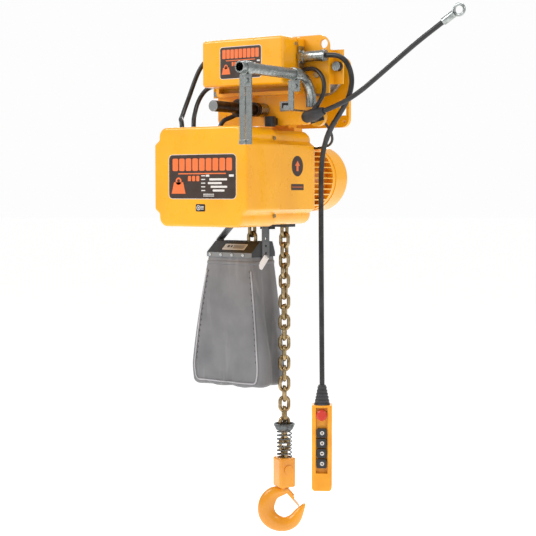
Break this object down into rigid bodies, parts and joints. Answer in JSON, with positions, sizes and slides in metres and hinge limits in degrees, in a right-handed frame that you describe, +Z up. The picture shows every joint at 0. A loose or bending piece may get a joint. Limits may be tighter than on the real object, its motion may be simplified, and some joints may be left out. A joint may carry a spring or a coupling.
{
  "type": "chain hoist",
  "caption": "Electric chain hoist on a motor-driven beam trolley, with swivel hook, chain bag and push-button pendant.",
  "frame": {"origin": "centre of the trolley between its four wheels, at the height of the wheel treads, which is the top of the beam's lower flange", "axes": "+X along the beam, -Y towards the side that carries the control covers, +Z up"},
  "size_m": [0.8694, 0.711, 1.3755],
  "materials": {
    "yellow_paint": "glossy enamel",
    "yellow_plastic": "moulded, satin",
    "plain_steel": "machined",
    "browned_steel": "browned and oiled",
    "zinc_plate": "bright zinc plate",
    "chain_gold": "yellow passivated zinc",
    "spring_steel": "oil tempered",
    "black_rubber": "satin",
    "black_plastic": "moulded",
    "red_plastic": "moulded",
    "stator_steel": "varnished laminations",
    "dark_sheet": "black satin paint",
    "grey_steel": "grey paint",
    "bag_cloth": "coated cloth"
  },
  "bodies": {
    "trolley": {"drop_bars": "zinc_plate", "jumper_lead": "black_rubber", "mounting_plate": "yellow_paint", "pendant_back": "yellow_plastic", "pendant_boot": "black_rubber", "pendant_cord": "black_rubber", "pendant_front": "yellow_plastic", "pendant_socket": "zinc_plate", "pipe_clamps": "zinc_plate", "shaft_spacers": "browned_steel", "side_plate_far": "yellow_paint", "side_plate_near": "yellow_paint", "supply_cord": "black_rubber", "supply_gland": "black_rubber", "supply_hanger": "zinc_plate", "support_pipe": "zinc_plate", "suspension_shaft": "browned_steel", "travel_motor": "stator_steel", "trolley_box_base": "yellow_paint", "trolley_box_cover": "yellow_paint", "trolley_fasteners": "zinc_plate", "wheel_axles": "plain_steel"},
    "hoist": {"suspension_yoke": "yellow_paint", "control_cover": "yellow_paint", "gear_case": "yellow_paint", "motor_frame": "yellow_paint", "motor_stator": "stator_steel", "fan_cover": "yellow_paint", "chain_guide": "black_plastic", "bag_frame": "dark_sheet", "bag_straps": "grey_steel", "chain_bag": "bag_cloth", "hoist_fasteners": "zinc_plate", "cable_rear": "black_rubber", "cable_front": "black_rubber", "cable_under": "black_rubber", "cable_side": "black_rubber"},
    "wheel_near_left": {"wheel_near_left": "plain_steel"},
    "wheel_near_right": {"wheel_near_right": "plain_steel"},
    "wheel_far_left": {"wheel_far_left": "plain_steel"},
    "wheel_far_right": {"wheel_far_right": "plain_steel"},
    "travel_pinion": {"travel_pinion": "plain_steel"},
    "sheave": {"load_sheave": "plain_steel", "load_gear": "plain_steel"},
    "counter_gear": {"counter_gear": "plain_steel"},
    "rotor": {"rotor_shaft": "plain_steel", "cooling_fan": "black_plastic"},
    "slack_chain": {"slack_chain": "chain_gold"},
    "bottom_block": {"load_chain": "chain_gold", "hook_block": "yellow_paint", "chain_pin": "plain_steel", "cushion_spring": "spring_steel"},
    "limit_plate": {"limit_plate": "plain_steel"},
    "hook": {"crane_hook": "yellow_paint"},
    "latch": {"hook_latch": "yellow_paint"},
    "emergency_stop": {"button_emergency_stop": "red_plastic"},
    "button_raise": {"button_raise": "black_plastic"},
    "button_lower": {"button_lower": "black_plastic"},
    "button_left": {"button_left": "black_plastic"},
    "button_right": {"button_right": "black_plastic"}
  },
  "joints": [
    {"name": "wheel_near_left_spin", "type": "hinge", "parent": "trolley", "child": "wheel_near_left", "pos_m": [-0.0825, -0.06, 0.054], "axis": [0, 1, 0], "continuous": true},
    {"name": "wheel_near_right_spin", "type": "hinge", "parent": "trolley", "child": "wheel_near_right", "pos_m": [0.0825, -0.06, 0.054], "axis": [0, 1, 0], "continuous": true},
    {"name": "wheel_far_left_spin", "type": "hinge", "parent": "trolley", "child": "wheel_far_left", "pos_m": [-0.0825, 0.06, 0.054], "axis": [0, 1, 0], "continuous": true},
    {"name": "wheel_far_right_spin", "type": "hinge", "parent": "trolley", "child": "wheel_far_right", "pos_m": [0.0825, 0.06, 0.054], "axis": [0, 1, 0], "continuous": true},
    {"name": "travel_pinion_spin", "type": "hinge", "parent": "trolley", "child": "travel_pinion", "pos_m": [0, -0.06, 0.054], "axis": [0, 1, 0], "continuous": true},
    {"name": "hoist_swing", "type": "hinge", "parent": "trolley", "child": "hoist", "pos_m": [0, 0, -0.05], "axis": [0, 1, 0], "range_deg": [-1.5, 1.5]},
    {"name": "hook_lift", "type": "slide", "parent": "hoist", "child": "bottom_block", "axis": [0, 0, 1], "range_m": [0, 0.084]},
    {"name": "slack_chain_feed", "type": "slide", "parent": "hoist", "child": "slack_chain", "axis": [0, 0, -1], "range_m": [-0.001, 0.085]},
    {"name": "sheave_turn", "type": "hinge", "parent": "hoist", "child": "sheave", "pos_m": [-0.05348, 0, -0.2265], "axis": [0, -1, 0], "range_deg": [-1, 91.5]},
    {"name": "counter_gear_turn", "type": "hinge", "parent": "hoist", "child": "counter_gear", "pos_m": [-0.05348, 0, -0.2805], "axis": [0, -1, 0], "range_deg": [-274, 3]},
    {"name": "rotor_turn", "type": "hinge", "parent": "hoist", "child": "rotor", "pos_m": [-0.05348, 0, -0.2265], "axis": [0, -1, 0], "range_deg": [-9, 822]},
    {"name": "limit_plate_slide", "type": "slide", "parent": "bottom_block", "child": "limit_plate", "axis": [0, 0, -1], "range_m": [0, 0.03], "stiffness_N_per_m": 3000, "springref_m": -0.002, "deforming": ["cushion_spring"]},
    {"name": "hook_swivel", "type": "hinge", "parent": "bottom_block", "child": "hook", "pos_m": [0, 0, -1.1], "axis": [0, 0, 1], "continuous": true},
    {"name": "latch_open", "type": "hinge", "parent": "hook", "child": "latch", "pos_m": [0.00495, 0.00339, -1.078], "axis": [-0.565, 0.8251, 0], "range_deg": [0, 30], "stiffness_Nm_per_rad": 0.5, "springref_deg": -17.19},
    {"name": "emergency_stop_push", "type": "slide", "parent": "trolley", "child": "emergency_stop", "axis": [-0.5, 0.866, 0], "range_m": [0, 0.005]},
    {"name": "button_raise_push", "type": "slide", "parent": "trolley", "child": "button_raise", "axis": [-0.5, 0.866, 0], "range_m": [0, 0.004], "stiffness_N_per_m": 400, "springref_m": -0.001},
    {"name": "button_lower_push", "type": "slide", "parent": "trolley", "child": "button_lower", "axis": [-0.5, 0.866, 0], "range_m": [0, 0.004], "stiffness_N_per_m": 400, "springref_m": -0.001},
    {"name": "button_left_push", "type": "slide", "parent": "trolley", "child": "button_left", "axis": [-0.5, 0.866, 0], "range_m": [0, 0.004], "stiffness_N_per_m": 400, "springref_m": -0.001},
    {"name": "button_right_push", "type": "slide", "parent": "trolley", "child": "button_right", "axis": [-0.5, 0.866, 0], "range_m": [0, 0.004], "stiffness_N_per_m": 400, "springref_m": -0.001}
  ],
  "couplings": [
    {"joint": "wheel_near_right_spin", "follows": "wheel_near_left_spin", "ratio": 1},
    {"joint": "travel_pinion_spin", "follows": "wheel_near_left_spin", "ratio": -2.6667},
    {"joint": "slack_chain_feed", "follows": "hook_lift", "ratio": 1},
    {"joint": "sheave_turn", "follows": "hook_lift", "rad_per_m": 18.7},
    {"joint": "counter_gear_turn", "follows": "hook_lift", "rad_per_m": -56.1},
    {"joint": "rotor_turn", "follows": "hook_lift", "rad_per_m": 168.3}
  ]
}
